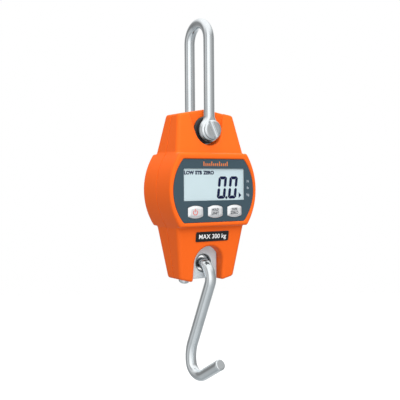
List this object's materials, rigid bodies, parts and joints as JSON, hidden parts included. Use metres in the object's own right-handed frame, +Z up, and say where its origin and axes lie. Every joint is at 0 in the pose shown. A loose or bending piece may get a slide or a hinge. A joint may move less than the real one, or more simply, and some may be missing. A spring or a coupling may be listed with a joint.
{
  "type": "crane scale",
  "caption": "Hanging crane scale: shackle above, S-hook below, load cell between, in an orange moulded housing with display, keys and battery door.",
  "frame": {"origin": "inner crown of the shackle bow, the point the scale hangs from", "axes": "+Z up along the load line, -Y the way the display faces, +X to the right of a person reading it"},
  "size_m": [0.0756, 0.0473, 0.2757],
  "materials": {
    "zinc_plated_steel": "bright zinc plating on bent steel rod",
    "load_cell_alloy": "satin machined",
    "orange_plastic": "moulded, fine satin texture",
    "slate_panel": "printed overlay, satin",
    "clear_window": "clear window",
    "lcd": "grey reflective liquid crystal",
    "milk_plastic": "milky light guide",
    "silver_key": "silver coating, bevelled",
    "black_plastic": "moulded",
    "circuit_board": "solder mask",
    "screw_steel": "plated",
    "cell_jacket": "printed jacket",
    "contact_brass": "nickel-flashed spring brass",
    "white_sealant": "silicone",
    "red_insulation": "wire insulation",
    "black_insulation": "wire insulation",
    "black_label": "printed label"
  },
  "bodies": {
    "shackle": {"shackle": "zinc_plated_steel", "shackle_pin": "zinc_plated_steel", "shackle_nut": "zinc_plated_steel", "pin_spacer_front": "black_plastic", "pin_spacer_rear": "black_plastic"},
    "housing": {"front_cover": "orange_plastic", "rear_cover": "orange_plastic", "load_cell": "load_cell_alloy", "gauge_seal_front": "white_sealant", "gauge_seal_rear": "white_sealant", "cell_screw_upper": "screw_steel", "cell_screw_lower": "screw_steel", "face_panel": "slate_panel", "display_lens": "clear_window", "lcd_glass": "lcd", "backlight_plate": "milk_plastic", "zebra_strip_upper": "black_plastic", "zebra_strip_lower": "black_plastic", "power_switch": "black_plastic", "hold_switch": "black_plastic", "tare_switch": "black_plastic", "main_board": "circuit_board", "board_screw_1": "screw_steel", "board_screw_2": "screw_steel", "board_screw_3": "screw_steel", "board_screw_4": "screw_steel", "controller_chip": "black_plastic", "buzzer": "black_plastic", "capacity_label": "black_label", "battery_cell_1": "cell_jacket", "battery_cell_2": "cell_jacket", "battery_cell_3": "cell_jacket", "battery_spring_1": "screw_steel", "battery_spring_2": "screw_steel", "battery_spring_3": "screw_steel", "contact_strip_left": "contact_brass", "contact_strip_right": "contact_brass", "case_screw_1": "screw_steel", "case_screw_2": "screw_steel", "case_screw_3": "screw_steel", "case_screw_4": "screw_steel", "gauge_cable": "white_sealant", "battery_lead_red": "red_insulation", "battery_lead_black": "black_insulation"},
    "power_key": {"power_key": "silver_key"},
    "hold_key": {"hold_key": "silver_key"},
    "tare_key": {"tare_key": "silver_key"},
    "battery_door": {"battery_door": "orange_plastic"},
    "eye_bush": {"eye_bush": "zinc_plated_steel"},
    "hook": {"hook": "zinc_plated_steel"}
  },
  "joints": [
    {"name": "housing_swing", "type": "hinge", "parent": "shackle", "child": "housing", "pos_m": [0, 0, -0.0773], "axis": [0, 1, 0], "range_deg": [-33, 33]},
    {"name": "hook_swing", "type": "hinge", "parent": "housing", "child": "eye_bush", "pos_m": [0, 0, -0.177], "axis": [0, 1, 0], "range_deg": [-24, 24]},
    {"name": "hook_rock", "type": "hinge", "parent": "eye_bush", "child": "hook", "pos_m": [0, 0, -0.18815], "axis": [1, 0, 0], "range_deg": [-12, 12]},
    {"name": "power_key_press", "type": "slide", "parent": "housing", "child": "power_key", "axis": [0, 1, 0], "range_m": [0, 0.0008], "stiffness_N_per_m": 500, "springref_m": -0.0012},
    {"name": "hold_key_press", "type": "slide", "parent": "housing", "child": "hold_key", "axis": [0, 1, 0], "range_m": [0, 0.0008], "stiffness_N_per_m": 500, "springref_m": -0.0012},
    {"name": "tare_key_press", "type": "slide", "parent": "housing", "child": "tare_key", "axis": [0, 1, 0], "range_m": [0, 0.0008], "stiffness_N_per_m": 500, "springref_m": -0.0012},
    {"name": "battery_door_open", "type": "hinge", "parent": "housing", "child": "battery_door", "pos_m": [0, 0.02, -0.1388], "axis": [-1, 0, 0], "range_deg": [0, 95]}
  ]
}
